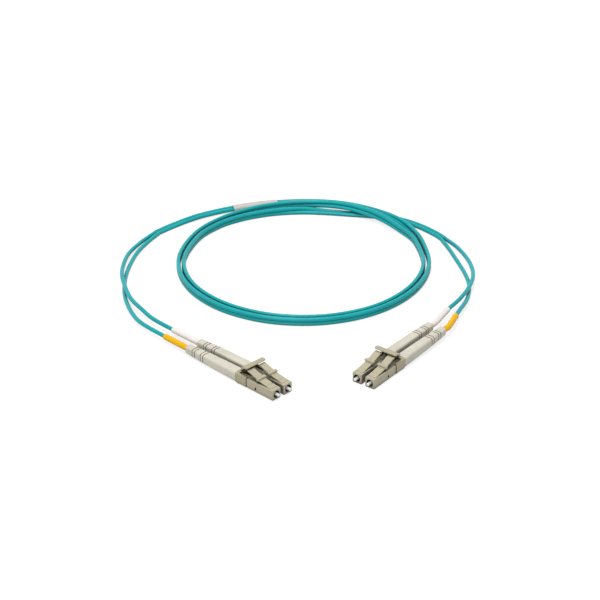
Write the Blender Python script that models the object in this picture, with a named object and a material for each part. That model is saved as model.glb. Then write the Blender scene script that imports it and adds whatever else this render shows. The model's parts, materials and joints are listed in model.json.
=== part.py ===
"""A duplex fibre optic patch cord: two pairs of snap-in plugs joined by one coiled two-fibre cord.

Lengths are in metres and +Z is up. Each end is built in its own frame, in which x runs forward
along the plugs from 0 at the ferrule tips, y runs across the pair and z up from the floor.
"""

import math

import bmesh
import bpy
import numpy as np
from mathutils import Matrix, Vector

# Clearances that every fit below is made from.
FACE_GAP = 0.0003
PRESS_GAP = 0.0001
EASE = 0.00015

# The mating interface: these are the sizes that let the plugs enter a standard socket.
PLUG_PITCH = 0.00625
FERRULE_RADIUS = 0.000625
FERRULE_LENGTH = 0.0082
FERRULE_CHAMFER = 0.00015
FERRULE_STAND_OUT = 0.0015

# Plug housing, which stands on a foot.
HOUSING_WIDTH = 0.00452
HOUSING_LENGTH = 0.0145
HOUSING_CORNER = 0.00035
HOUSING_REAR_DROP = 0.00041
STRAIGHT_TOP = 0.0045
RECESS_RADIUS = 0.0016
RECESS_DEPTH = 0.0044
STOP_WALL = 0.0004
CHAMBER_RADIUS = 0.0015
WINDOW_FROM_REAR = 0.005
WINDOW_LENGTH = 0.0008
WINDOW_HEIGHT = 0.0012
WINDOW_DROP = 0.0007
FOOT_HEIGHT = 0.00035
FOOT_LENGTH = 0.0015
FOOT_FROM_REAR = 0.0001
FOOT_HALF_WIDTH = 0.0015
PAD_LENGTH = 0.0025

# Latch: its hinge line lies across the top of the housing.
LATCH_FROM_NOSE = 0.0041
LATCH_ABOVE_TOP = 0.00021
HINGE_RADIUS = 0.00042
HINGE_CLEARANCE = 0.00012
LATCH_HALF_WIDTH = 0.0017
LATCH_HALF_THICKNESS = 0.00032
EAR_FROM_HINGE = 0.004
EAR_LENGTH = 0.0009
EAR_HEIGHT = 0.0012
EAR_HALF_WIDTH = 0.00225
TAIL_FROM_HINGE = 0.0107
TAIL_RISE = 0.00264
TAIL_HALF_WIDTH = 0.0016
TAIL_HALF_THICKNESS = 0.0004

# Ferrule holder, spring and rear body.
HOLDER_FLANGE_LENGTH = 0.002
HOLDER_TAIL_LENGTH = 0.0037
HOLDER_TAIL_RADIUS = 0.00075
FIBRE_BORE_RADIUS = 0.00035
SPRING_WIRE_RADIUS = 0.00014
SPRING_CURLS = 5
SPRING_POINTS_PER_CURL = 8
HOLDER_ROOM = 0.0011
BODY_BORE_RADIUS = 0.0005
BODY_SHOULDER_SHORT = 0.0008
POST_RADIUS = 0.001
POST_LENGTH = 0.003
CRIMP_LENGTH = 0.0045
CRIMP_WALL = 0.0003

# Boot.
BOOT_LENGTH = 0.0299
BOOT_FRONT_HALF = 0.0024
BOOT_TAPER = 0.0004
BOOT_END_TAPER = 0.00034
SLIT_WIDTH = 0.0005
SLIT_DEPTH = 0.0004
SLITS_FROM_REAR = (0.0107, 0.0092, 0.0057, 0.0042)

# Duplex clip and its trigger.
CLIP_LENGTH = 0.0057
CLIP_SIDE = 0.00038
CLIP_HEIGHT = 0.00465
CLIP_CORNER = 0.0005
CLIP_BORE_RADIUS = 0.00205
CLIP_WALL = 0.0008
CLIP_REAR_WALL = 0.0011
CLIP_RIB_HALF_WIDTH = 0.0006
CLIP_RIB_DROP = 0.0005
CLIP_TROUGH_ABOVE_AXIS = 0.0003
CLIP_FOOT_LENGTH = 0.0008
CLIP_FOOT_WIDTH = 0.0009
TRIGGER_ABOVE_CLIP = 0.00028
TRIGGER_HALF_THICKNESS = 0.00043
TRIGGER_ROOT_HALF_WIDTH = 0.003
TRIGGER_BAR_LENGTH = 0.0026
TRIGGER_BAR_OVERHANG = 0.00048
TRIGGER_BAR_SIDE = 0.0006

# Cord: each leg is one round jacket, and the zip is two of them side by side.
LEG_RADIUS = 0.0009
STRAND_OFFSET = LEG_RADIUS + 0.00005
ZIP_WAIST = 0.00028
MARKER_CLEARANCE = 0.00018
MARKER_WALL = 0.00019
WHITE_MARKER_LENGTH = 0.0171
YELLOW_MARKER_LENGTH = 0.0155
LABEL_WALL = 0.00015
LABEL_START = 0.0411
LABEL_LENGTH = 0.021
SPLIT_OFFSET = LEG_RADIUS + 0.00016
COIL_CENTRE = (-0.00517, 0.08683)
COIL_STEP = 0.0065
LEAST_APART = 0.03
BOOT_LEAD = 0.004
RUN_STEP = 0.005
LEG_STEP = 0.0045

# Places that follow from the sizes, back from the ferrule tips and up from the plug's axis.
HALF_HOUSING = HOUSING_WIDTH / 2
AXIS_HEIGHT = HALF_HOUSING + FOOT_HEIGHT
NOSE_X = -FERRULE_STAND_OUT
RECESS_REAR = NOSE_X - RECESS_DEPTH
STOP_WALL_REAR = RECESS_REAR - STOP_WALL
STOP_WALL_RADIUS = FERRULE_RADIUS + FACE_GAP
HOUSING_REAR = NOSE_X - HOUSING_LENGTH
WINDOW_X = HOUSING_REAR + WINDOW_FROM_REAR
FOOT_REAR = HOUSING_REAR + FOOT_FROM_REAR
FOOT_FRONT = FOOT_REAR + FOOT_LENGTH
LATCH_X = NOSE_X - LATCH_FROM_NOSE
LATCH_Z = HALF_HOUSING + LATCH_ABOVE_TOP
PAD_HALF_WIDTH = LATCH_HALF_WIDTH + 0.00008
FERRULE_REAR = -FERRULE_LENGTH
HOLDER_FRONT = STOP_WALL_REAR - FACE_GAP
HOLDER_FLANGE_REAR = HOLDER_FRONT - HOLDER_FLANGE_LENGTH
HOLDER_REAR = HOLDER_FLANGE_REAR - HOLDER_TAIL_LENGTH
HOLDER_HEX_RADIUS = CHAMBER_RADIUS - FACE_GAP
HOLDER_BORE_RADIUS = FERRULE_RADIUS + PRESS_GAP
BODY_FRONT = HOLDER_REAR - HOLDER_ROOM
BODY_NECK_RADIUS = CHAMBER_RADIUS - FACE_GAP
SPRING_FRONT = HOLDER_FLANGE_REAR - FACE_GAP - SPRING_WIRE_RADIUS
SPRING_REAR = BODY_FRONT + FACE_GAP + SPRING_WIRE_RADIUS
SPRING_MEAN_RADIUS = (HOLDER_TAIL_RADIUS + CHAMBER_RADIUS) / 2
CLIP_FRONT = HOUSING_REAR - FACE_GAP
CLIP_REAR = CLIP_FRONT - CLIP_LENGTH
CLIP_HALF_WIDTH = PLUG_PITCH / 2 + CLIP_BORE_RADIUS + CLIP_SIDE
CLIP_HIGH = FOOT_HEIGHT + CLIP_HEIGHT
CLIP_REAR_WALL_FRONT = CLIP_REAR + CLIP_REAR_WALL
CLIP_TROUGH_LOW = AXIS_HEIGHT + CLIP_TROUGH_ABOVE_AXIS
BODY_SHOULDER_RADIUS = CLIP_BORE_RADIUS - FACE_GAP
BODY_SHOULDER_REAR = CLIP_REAR + BODY_SHOULDER_SHORT
POST_REAR = CLIP_REAR - POST_LENGTH
CRIMP_FRONT = CLIP_REAR - FACE_GAP
CRIMP_REAR = CRIMP_FRONT - CRIMP_LENGTH
CRIMP_BORE_RADIUS = max(POST_RADIUS, LEG_RADIUS) + FACE_GAP
CRIMP_RADIUS = CRIMP_BORE_RADIUS + CRIMP_WALL
BOOT_FRONT = CLIP_REAR - FACE_GAP
BOOT_REAR = BOOT_FRONT - BOOT_LENGTH
BOOT_CAVITY_REAR = CRIMP_REAR - FACE_GAP
BOOT_CAVITY_RADIUS = CRIMP_RADIUS + FACE_GAP
BOOT_BORE_RADIUS = LEG_RADIUS + FACE_GAP
LEG_START = POST_REAR - FACE_GAP
MARKER_BORE_RADIUS = LEG_RADIUS + MARKER_CLEARANCE
MARKER_RADIUS = MARKER_BORE_RADIUS + MARKER_WALL
LABEL_BORE_HALF_HEIGHT = LEG_RADIUS + PRESS_GAP
LABEL_BORE_HALF_WIDTH = STRAND_OFFSET + LABEL_BORE_HALF_HEIGHT
TRIGGER_X = CLIP_REAR + CLIP_REAR_WALL / 2
TRIGGER_Z = CLIP_HIGH + TRIGGER_ABOVE_CLIP
TRIGGER_BAR_HALF_WIDTH = PLUG_PITCH / 2 + TAIL_HALF_WIDTH + TRIGGER_BAR_SIDE
TAIL_END_X = LATCH_X - TAIL_FROM_HINGE
TAIL_TOP = AXIS_HEIGHT + LATCH_Z + TAIL_RISE + TAIL_HALF_THICKNESS

# How each end lies: where its tips' middle is on the floor, its heading and its nose-down tilt.
LEFT_TIPS = (-0.01259, -0.02491)
LEFT_HEADING = math.radians(-44.74)
LEFT_TILT = 0.0
RIGHT_TIPS = (0.0173, -0.01645)
RIGHT_HEADING = math.radians(-127.82)
RIGHT_TILT = math.radians(1.4)

SECTION_POINTS = 16
SMOOTH_BELOW = math.radians(35)
MM = 0.001

# The zip's route round the coil's centre, as (angle, radius, height, roll) in degrees and
# millimetres. Angles grow clockwise seen from above and start at the back of the coil. A roll of
# 0 lies flat, and one of 90 stands on edge with the outer fibre on top.
LEFT_RUN = [
    (-65.3, 71.8, 0.93, 0.0),
    (-60.0, 69.9, 0.93, 0.0),
    (-54.7, 68.3, 0.93, 0.0),
    (-50.0, 67.0, 1.05, 0.0),
    (-45.0, 65.7, 1.15, 0.0),
]
COIL = [
    (-36.0, 63.5, 1.18, 0.0),
    (-29.0, 62.2, 1.2, 0.0),
    (-22.0, 61.3, 1.22, 0.0),
    (-14.0, 60.6, 1.32, 0.0),
    (-7.0, 59.9, 1.6, 0.0),
    (0.0, 59.0, 2.05, 0.0),
    (9.0, 57.9, 2.75, 0.0),
    (19.0, 57.3, 3.2, 0.0),
    (29.0, 57.1, 3.3, 0.0),
    (39.0, 56.9, 3.35, 5.0),
    (49.0, 56.6, 3.15, 35.0),
    (59.0, 56.1, 2.6, 70.0),
    (71.0, 55.4, 1.98, 90.0),
    (95.0, 54.45, 1.88, 90.0),
    (120.0, 53.85, 1.88, 90.0),
    (145.0, 53.7, 1.88, 90.0),
    (170.0, 53.75, 1.88, 90.0),
    (195.0, 53.9, 1.88, 90.0),
    (220.0, 54.1, 1.88, 90.0),
    (245.0, 54.3, 1.88, 90.0),
    (270.0, 54.4, 1.88, 90.0),
    (295.0, 54.4, 1.88, 90.0),
    (315.0, 54.7, 2.05, 90.0),
    (335.0, 54.8, 2.4, 90.0),
    (350.0, 54.7, 2.9, 90.0),
    (362.0, 54.2, 3.45, 85.0),
    (374.0, 53.7, 4.14, 75.0),
    (386.0, 53.4, 4.2, 70.0),
    (400.0, 53.1, 3.5, 80.0),
    (416.0, 52.9, 2.3, 90.0),
    (430.0, 52.8, 1.92, 90.0),
    (455.0, 52.0, 1.88, 90.0),
    (480.0, 51.4, 1.88, 90.0),
    (505.0, 51.35, 1.88, 90.0),
    (530.0, 51.2, 1.88, 90.0),
    (555.0, 51.2, 1.88, 90.0),
    (580.0, 51.4, 1.88, 90.0),
    (605.0, 51.9, 1.88, 90.0),
    (630.0, 52.1, 1.88, 90.0),
    (655.0, 51.9, 1.88, 90.0),
    (672.0, 51.8, 1.88, 90.0),
    (685.0, 51.2, 1.88, 90.0),
    (698.0, 50.5, 1.88, 90.0),
    (710.0, 50.2, 1.89, 80.0),
    (721.0, 50.5, 1.7, 45.0),
    (732.0, 51.2, 1.12, 10.0),
    (743.0, 52.8, 0.93, 0.0),
]
RIGHT_RUN = [
    (753.0, 56.0, 0.93, 0.0),
    (762.0, 59.6, 0.93, 0.0),
    (770.3, 62.2, 0.93, 0.0),
    (778.0, 64.1, 0.93, 0.0),
    (785.4, 65.8, 0.93, 0.0),
    (789.0, 66.4, 0.93, 0.0),
]

# The legs' free routes in millimetres on the floor, from each boot to the split.
LEFT_WHITE_ROUTE = [
    (-66.2, 32.7, 2.65),
    (-72.3, 41.6, 2.8),
    (-78.0, 51.7, 3.0),
    (-81.8, 65.1, 3.1),
    (-83.4, 77.0, 2.7),
    (-82.1, 93.4, 1.8),
    (-77.4, 106.5, 1.1),
]
LEFT_YELLOW_ROUTE = [
    (-70.9, 29.7, 2.3),
    (-76.7, 41.0, 1.7),
    (-80.5, 55.0, 1.1),
    (-81.7, 67.3, 0.93),
    (-81.3, 80.0, 0.93),
    (-78.7, 95.2, 0.93),
    (-74.7, 106.3, 0.93),
]
RIGHT_WHITE_ROUTE = [
    (54.6, 40.3, 3.6),
    (60.2, 49.6, 3.6),
    (64.9, 60.5, 3.5),
    (67.5, 72.4, 3.1),
    (66.8, 86.1, 2.2),
    (62.9, 101.1, 1.2),
]
RIGHT_YELLOW_ROUTE = [
    (59.3, 39.9, 3.1),
    (63.7, 53.0, 1.9),
    (65.4, 66.2, 1.1),
    (64.4, 77.3, 0.93),
    (61.9, 88.6, 0.93),
    (58.9, 100.6, 0.93),
]

# Finish of each kind of piece: linear base colour, roughness and metallic.
HOUSING_BEIGE = ((0.42, 0.39, 0.27), 0.45, 0.0)
BOOT_CREAM = ((0.68, 0.64, 0.54), 0.55, 0.0)
CERAMIC_WHITE = ((0.85, 0.85, 0.85), 0.2, 0.0)
STEEL = ((0.5, 0.5, 0.5), 0.3, 1.0)
JACKET_AQUA = ((0.02, 0.36, 0.38), 0.4, 0.0)
MARKER_YELLOW = ((0.85, 0.45, 0.0), 0.5, 0.0)
MARKER_WHITE = ((0.75, 0.73, 0.72), 0.5, 0.0)
LABEL_FILM = ((0.68, 0.64, 0.6), 0.5, 0.0)


def clear_scene():
    for obj in list(bpy.data.objects):
        bpy.data.objects.remove(obj, do_unlink=True)


def ring(x, radius, count=SECTION_POINTS):
    """A circle of points round the x axis, with no point on the y or z axis."""
    turns = [(i + 0.5) / count for i in range(count)]
    return [(x, radius * math.cos(math.tau * t), radius * math.sin(math.tau * t)) for t in turns]


def rounded(x, half_width, low, high, corner, count=SECTION_POINTS):
    """A rectangle with rounded corners across the x axis, as points in the order of ring."""
    per_corner = count // 4
    middle = (low + high) / 2
    half_height = (high - low) / 2
    points = []
    for i in range(count):
        quarter, step = divmod(i, per_corner)
        angle = math.radians(90 * quarter + 90 * step / (per_corner - 1))
        side_y = 1 if quarter in (0, 3) else -1
        side_z = 1 if quarter in (0, 1) else -1
        y = side_y * (half_width - corner) + corner * math.cos(angle)
        z = side_z * (half_height - corner) + corner * math.sin(angle)
        points.append((x, y, middle + z))
    return points


def hexagon(x, radius, count=SECTION_POINTS):
    """A hexagon of that corner radius across the x axis, as points in the order of ring."""
    points = []
    for i in range(count):
        angle = math.tau * (i + 0.5) / count
        from_flat = (angle + math.pi / 6) % (math.pi / 3) - math.pi / 6
        reach = radius * math.cos(math.pi / 6) / math.cos(from_flat)
        points.append((x, reach * math.cos(angle), reach * math.sin(angle)))
    return points


def skin(name, loops, joined):
    """One closed body through loops of equal length. Joined closes the last onto the first."""
    bm = bmesh.new()
    rows = [[bm.verts.new(point) for point in loop] for loop in loops]
    pairs = list(zip(rows, rows[1:]))
    if joined:
        pairs.append((rows[-1], rows[0]))
    else:
        bm.faces.new(rows[0])
        bm.faces.new(rows[-1])
    for near, far in pairs:
        for i in range(len(near)):
            j = (i + 1) % len(near)
            bm.faces.new((near[i], near[j], far[j], far[i]))
    bmesh.ops.recalc_face_normals(bm, faces=bm.faces)
    mesh = bpy.data.meshes.new(name)
    bm.to_mesh(mesh)
    bm.free()
    return mesh


def prism(name, outline, low_y, high_y):
    """An outline in x and z carried from low_y to high_y."""
    sides = [[(x, y, z) for x, z in outline] for y in (low_y, high_y)]
    return skin(name, sides, joined=False)


def block(name, x, y, z):
    """A box from its (low, high) pairs."""
    outline = [(x[0], z[0]), (x[1], z[0]), (x[1], z[1]), (x[0], z[1])]
    return prism(name, outline, y[0], y[1])


def cross_bar(name, radius, half_length, sides=20):
    """A cylinder along y round the origin."""
    turns = [math.tau * (i + 0.5) / sides for i in range(sides)]
    outline = [(radius * math.cos(t), radius * math.sin(t)) for t in turns]
    return prism(name, outline, -half_length, half_length)


def strap(name, stations, edge=0.00012):
    """A flat strip along stations of (x, z, half thickness, half width), with eased edges."""
    loops = []
    for i, (x, z, half_thickness, half_width) in enumerate(stations):
        before = stations[max(i - 1, 0)]
        after = stations[min(i + 1, len(stations) - 1)]
        along = Vector((after[0] - before[0], after[1] - before[1])).normalized()
        ease = min(edge, 0.6 * half_thickness)
        flat = half_thickness - ease
        inner = half_width - ease
        outline = [(half_width, -flat), (half_width, flat), (inner, half_thickness), (-inner, half_thickness)]
        outline += [(-half_width, flat), (-half_width, -flat), (-inner, -half_thickness), (inner, -half_thickness)]
        loops.append([(x - along.y * up, across, z + along.x * up) for across, up in outline])
    return skin(name, loops, joined=False)


def finish(name, values):
    colour, roughness, metallic = values
    material = bpy.data.materials.new(name)
    material.use_nodes = True
    shader = material.node_tree.nodes["Principled BSDF"]
    shader.inputs["Base Color"].default_value = (*colour, 1.0)
    shader.inputs["Roughness"].default_value = roughness
    shader.inputs["Metallic"].default_value = metallic
    return material


def place(name, data, parent, at=(0.0, 0.0, 0.0)):
    obj = bpy.data.objects.new(name, data)
    bpy.context.scene.collection.objects.link(obj)
    obj.parent = parent
    obj.location = at
    return obj


def piece(name, data, values, parent=None, at=(0.0, 0.0, 0.0)):
    """A named solid with its own material, smooth where its faces meet at a low angle."""
    data.materials.append(finish(name, values))
    if isinstance(data, bpy.types.Mesh):
        data.shade_smooth()
        data.set_sharp_from_angle(angle=SMOOTH_BELOW)
    return place(name, data, parent, at)


def combine(obj, operation, mesh, at):
    """Adds or cuts a helper shape, which never becomes a piece of its own."""
    helper = place(mesh.name, mesh, obj.parent, at)
    helper.hide_render = True
    helper.display_type = "WIRE"
    modifier = obj.modifiers.new(mesh.name, "BOOLEAN")
    modifier.operation = operation
    modifier.solver = "EXACT"
    modifier.object = helper


def housing(name, parent, y):
    half = HALF_HOUSING
    eased = half - EASE
    low, rear_high = -half, half - HOUSING_REAR_DROP
    loops = [
        rounded(NOSE_X, eased, -eased, eased, HOUSING_CORNER),
        rounded(NOSE_X - EASE, half, low, half, HOUSING_CORNER),
        rounded(NOSE_X - STRAIGHT_TOP, half, low, half, HOUSING_CORNER),
        rounded(HOUSING_REAR, half, low, rear_high, HOUSING_CORNER),
        ring(HOUSING_REAR, CHAMBER_RADIUS),
        ring(STOP_WALL_REAR, CHAMBER_RADIUS),
        ring(STOP_WALL_REAR, STOP_WALL_RADIUS),
        ring(RECESS_REAR, STOP_WALL_RADIUS),
        ring(RECESS_REAR, RECESS_RADIUS),
        ring(NOSE_X, RECESS_RADIUS),
    ]
    at = (0.0, y, AXIS_HEIGHT)
    obj = piece(name, skin(name, loops, joined=True), HOUSING_BEIGE, parent, at)
    bury = HOUSING_CORNER / 2
    foot = block(name + "_foot", (FOOT_REAR, FOOT_FRONT), (-FOOT_HALF_WIDTH, FOOT_HALF_WIDTH), (-AXIS_HEIGHT, low + bury))
    combine(obj, "UNION", foot, at)
    pad_top = LATCH_Z + HINGE_RADIUS
    outline = [
        (LATCH_X + PAD_LENGTH + EASE, half - bury),
        (LATCH_X + PAD_LENGTH, half + EASE),
        (LATCH_X, pad_top),
        (LATCH_X, half - bury),
    ]
    combine(obj, "UNION", prism(name + "_pad", outline, -PAD_HALF_WIDTH, PAD_HALF_WIDTH), at)
    seat = cross_bar(name + "_seat", HINGE_RADIUS + HINGE_CLEARANCE, PAD_HALF_WIDTH + HINGE_CLEARANCE)
    combine(obj, "DIFFERENCE", seat, (LATCH_X, y, AXIS_HEIGHT + LATCH_Z))
    window_x = (WINDOW_X - WINDOW_LENGTH / 2, WINDOW_X + WINDOW_LENGTH / 2)
    window_z = (-WINDOW_DROP - WINDOW_HEIGHT / 2, -WINDOW_DROP + WINDOW_HEIGHT / 2)
    window = block(name + "_window", window_x, (-HOUSING_WIDTH, HOUSING_WIDTH), window_z)
    combine(obj, "DIFFERENCE", window, at)
    return obj


def latch(name, parent, y):
    """The sprung arm: root on the hinge line, two ears at its middle and a tail under the trigger."""
    r, w, t = HINGE_RADIUS, LATCH_HALF_WIDTH, LATCH_HALF_THICKNESS
    tail, end_t = TAIL_HALF_WIDTH, TAIL_HALF_THICKNESS
    ear, ear_rear, ear_t = -EAR_FROM_HINGE, -EAR_FROM_HINGE - EAR_LENGTH, EAR_HEIGHT / 2
    neck_z = 0.45 * TAIL_RISE
    arm_z = r - t + 0.24 * TAIL_RISE
    neck = ear_rear - 2 * FACE_GAP
    bend = -0.9 * TAIL_FROM_HINGE
    stations = [
        (0.98 * r, -0.2 * r, 0.2 * r, w),
        (0.8 * r, -0.15 * r, 0.6 * r, w),
        (0.4 * r, -0.07 * r, 0.92 * r, w),
        (0.0, 0.0, r, w),
        (-0.7 * r, 0.35 * r, t, w),
        (-1.5 * r, 0.6 * r, t, w),
        (ear + FACE_GAP, arm_z, t, w),
        (ear, arm_z + 0.8 * ear_t, ear_t, EAR_HALF_WIDTH),
        (ear_rear, neck_z + 0.2 * ear_t, ear_t, EAR_HALF_WIDTH),
        (neck, neck_z, end_t, tail),
        (bend, 0.95 * TAIL_RISE, end_t, tail),
        (-TAIL_FROM_HINGE + FACE_GAP, TAIL_RISE, 0.8 * end_t, tail),
        (-TAIL_FROM_HINGE, TAIL_RISE, 0.4 * end_t, tail - PRESS_GAP),
    ]
    return piece(name, strap(name, stations), HOUSING_BEIGE, parent, (LATCH_X, y, AXIS_HEIGHT + LATCH_Z))


def ferrule(name, parent, y):
    loops = [
        ring(0.0, FERRULE_RADIUS - FERRULE_CHAMFER),
        ring(-FERRULE_CHAMFER, FERRULE_RADIUS),
        ring(FERRULE_REAR, FERRULE_RADIUS),
    ]
    return piece(name, skin(name, loops, joined=False), CERAMIC_WHITE, parent, (0.0, y, AXIS_HEIGHT))


def ferrule_holder(name, parent, y):
    bore_rear = FERRULE_REAR - FERRULE_CHAMFER
    loops = [
        hexagon(HOLDER_FRONT, HOLDER_HEX_RADIUS),
        hexagon(HOLDER_FLANGE_REAR, HOLDER_HEX_RADIUS),
        ring(HOLDER_FLANGE_REAR, HOLDER_TAIL_RADIUS),
        ring(HOLDER_REAR, HOLDER_TAIL_RADIUS),
        ring(HOLDER_REAR, FIBRE_BORE_RADIUS),
        ring(bore_rear, FIBRE_BORE_RADIUS),
        ring(bore_rear, HOLDER_BORE_RADIUS),
        ring(HOLDER_FRONT, HOLDER_BORE_RADIUS),
    ]
    return piece(name, skin(name, loops, joined=True), STEEL, parent, (0.0, y, AXIS_HEIGHT))


def rear_body(name, parent, y):
    loops = [
        ring(BODY_FRONT, BODY_NECK_RADIUS),
        ring(CLIP_FRONT, BODY_NECK_RADIUS),
        ring(CLIP_FRONT, BODY_SHOULDER_RADIUS),
        ring(BODY_SHOULDER_REAR, BODY_SHOULDER_RADIUS),
        ring(BODY_SHOULDER_REAR, POST_RADIUS),
        ring(POST_REAR, POST_RADIUS),
        ring(POST_REAR, BODY_BORE_RADIUS),
        ring(BODY_FRONT, BODY_BORE_RADIUS),
    ]
    return piece(name, skin(name, loops, joined=True), HOUSING_BEIGE, parent, (0.0, y, AXIS_HEIGHT))


def crimp_sleeve(name, parent, y):
    loops = [
        ring(CRIMP_FRONT, CRIMP_RADIUS),
        ring(CRIMP_REAR, CRIMP_RADIUS),
        ring(CRIMP_REAR, CRIMP_BORE_RADIUS),
        ring(CRIMP_FRONT, CRIMP_BORE_RADIUS),
    ]
    return piece(name, skin(name, loops, joined=True), STEEL, parent, (0.0, y, AXIS_HEIGHT))


def boot_half_size(x):
    """Half width of the boot at x: it tapers slowly at first and then faster to the rear."""
    share = (BOOT_FRONT - x) / (BOOT_FRONT - BOOT_REAR)
    return BOOT_FRONT_HALF - BOOT_TAPER * share - BOOT_END_TAPER * share**3


def boot_section(x, inset=0.0):
    half = boot_half_size(x) - inset
    low = -half * 0.97
    return rounded(x, half, low, -low, 0.45 * half)


def boot(name, parent, y):
    edge = SLIT_WIDTH / 2
    sections = [boot_section(BOOT_FRONT, EASE), boot_section(BOOT_FRONT - EASE)]
    sections.append(boot_section((BOOT_FRONT + BOOT_REAR) / 2))
    for from_rear in SLITS_FROM_REAR:
        middle = BOOT_REAR + from_rear
        sections.append(boot_section(middle + edge))
        sections.append(boot_section(middle + 0.8 * edge, SLIT_DEPTH))
        sections.append(boot_section(middle - 0.8 * edge, SLIT_DEPTH))
        sections.append(boot_section(middle - edge))
    sections.append(boot_section(BOOT_REAR + 2 * EASE))
    sections.append(boot_section(BOOT_REAR, EASE))
    sections.append(ring(BOOT_REAR, BOOT_BORE_RADIUS))
    sections.append(ring(BOOT_CAVITY_REAR, BOOT_BORE_RADIUS))
    sections.append(ring(BOOT_CAVITY_REAR, BOOT_CAVITY_RADIUS))
    sections.append(ring(BOOT_FRONT, BOOT_CAVITY_RADIUS))
    return piece(name, skin(name, sections, joined=True), BOOT_CREAM, parent, (0.0, y, AXIS_HEIGHT))


def helix_points():
    count = SPRING_CURLS * SPRING_POINTS_PER_CURL
    points = []
    for i in range(count + 1):
        angle = math.tau * i / SPRING_POINTS_PER_CURL
        x = SPRING_FRONT + (SPRING_REAR - SPRING_FRONT) * i / count
        points.append((x, SPRING_MEAN_RADIUS * math.cos(angle), SPRING_MEAN_RADIUS * math.sin(angle)))
    return points


def tube(name, points, radius, bevel_resolution):
    """A round tube along a polyline."""
    curve = bpy.data.curves.new(name, "CURVE")
    curve.dimensions = "3D"
    curve.bevel_depth = radius
    curve.bevel_resolution = bevel_resolution
    curve.use_fill_caps = True
    spline = curve.splines.new("POLY")
    spline.points.add(len(points) - 1)
    for target, point in zip(spline.points, points):
        target.co = (*point[:3], 1.0)
    return curve


def spring(name, parent, y):
    data = tube(name, helix_points(), SPRING_WIRE_RADIUS, 1)
    return piece(name, data, STEEL, parent, (0.0, y, AXIS_HEIGHT))


def clip_body(name):
    sections = [rounded(x, CLIP_HALF_WIDTH, FOOT_HEIGHT, CLIP_HIGH, CLIP_CORNER) for x in (CLIP_FRONT, CLIP_REAR)]
    return skin(name, sections, joined=False)


def duplex_clip(name, parent):
    """The block that holds two plugs side by side, open at the top around their rear bodies."""
    at = (0.0, 0.0, 0.0)
    obj = piece(name, clip_body(name), HOUSING_BEIGE, parent, at)
    inner = CLIP_HALF_WIDTH - CLIP_WALL
    over = CLIP_CORNER
    trough_x = (CLIP_REAR_WALL_FRONT, CLIP_FRONT + over)
    foot_x = (CLIP_REAR_WALL_FRONT - CLIP_FOOT_LENGTH, CLIP_REAR_WALL_FRONT)
    foot_edge = CLIP_HALF_WIDTH - CLIP_CORNER
    for side, label in ((-1, "right"), (1, "left")):
        foot_y = sorted((side * (foot_edge - CLIP_FOOT_WIDTH), side * foot_edge))
        foot = block(f"{name}_foot_{label}", foot_x, foot_y, (0.0, FOOT_HEIGHT + over / 2))
        combine(obj, "UNION", foot, at)
        bore = [ring(CLIP_REAR - over, CLIP_BORE_RADIUS, 20), ring(CLIP_FRONT + over, CLIP_BORE_RADIUS, 20)]
        bore = skin(f"{name}_bore_{label}", bore, joined=False)
        combine(obj, "DIFFERENCE", bore, (0.0, side * PLUG_PITCH / 2, AXIS_HEIGHT))
        pocket_y = sorted((side * CLIP_RIB_HALF_WIDTH, side * inner))
        pocket = block(f"{name}_pocket_{label}", trough_x, pocket_y, (CLIP_TROUGH_LOW, CLIP_HIGH + over))
        combine(obj, "DIFFERENCE", pocket, at)
    rib_cut = block(name + "_rib_cut", trough_x, (-inner, inner), (CLIP_HIGH - CLIP_RIB_DROP, CLIP_HIGH + over))
    combine(obj, "DIFFERENCE", rib_cut, at)
    seat = cross_bar(name + "_seat", HINGE_RADIUS + HINGE_CLEARANCE, TRIGGER_ROOT_HALF_WIDTH + HINGE_CLEARANCE)
    combine(obj, "DIFFERENCE", seat, (TRIGGER_X, 0.0, TRIGGER_Z))
    return obj


def trigger(name, parent):
    """The lever over both latches: root on the clip's rear wall, plate rising forward to a bar."""
    t, r = TRIGGER_HALF_THICKNESS, HINGE_RADIUS
    root, bar = TRIGGER_ROOT_HALF_WIDTH, TRIGGER_BAR_HALF_WIDTH
    front = TAIL_END_X + TRIGGER_BAR_OVERHANG - TRIGGER_X
    rear = front - TRIGGER_BAR_LENGTH
    high = TAIL_TOP + FACE_GAP + t - TRIGGER_Z
    stations = [
        (-0.7 * r, -0.7 * r, 0.25 * r, root),
        (-0.5 * r, -0.5 * r, 0.7 * r, root),
        (0.0, 0.0, r, root),
        (0.2 * rear, 0.18 * high, r, root),
        (0.44 * rear, 0.39 * high, t, 0.65 * root + 0.35 * bar),
        (0.7 * rear, 0.62 * high, t, 0.1 * root + 0.9 * bar),
        (0.93 * rear, 0.81 * high, t, bar),
        (rear + 0.1 * TRIGGER_BAR_LENGTH, 0.91 * high, t, bar),
        (rear + 0.36 * TRIGGER_BAR_LENGTH, 0.98 * high, t, bar),
        (rear + 0.65 * TRIGGER_BAR_LENGTH, high, t, bar),
        (rear + 0.84 * TRIGGER_BAR_LENGTH, high, 0.9 * t, bar - PRESS_GAP),
        (rear + 0.97 * TRIGGER_BAR_LENGTH, high, 0.55 * t, bar - 3 * PRESS_GAP),
        (front, high, 0.25 * t, bar - 6 * PRESS_GAP),
    ]
    return piece(name, strap(name, stations), HOUSING_BEIGE, parent, (TRIGGER_X, 0.0, TRIGGER_Z))


def build_plug(prefix, parent, y):
    housing(prefix + "_housing", parent, y)
    latch(prefix + "_latch", parent, y)
    ferrule(prefix + "_ferrule", parent, y)
    ferrule_holder(prefix + "_ferrule_holder", parent, y)
    spring(prefix + "_spring", parent, y)
    rear_body(prefix + "_rear_body", parent, y)
    crimp_sleeve(prefix + "_crimp_sleeve", parent, y)
    boot(prefix + "_boot", parent, y)


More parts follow.
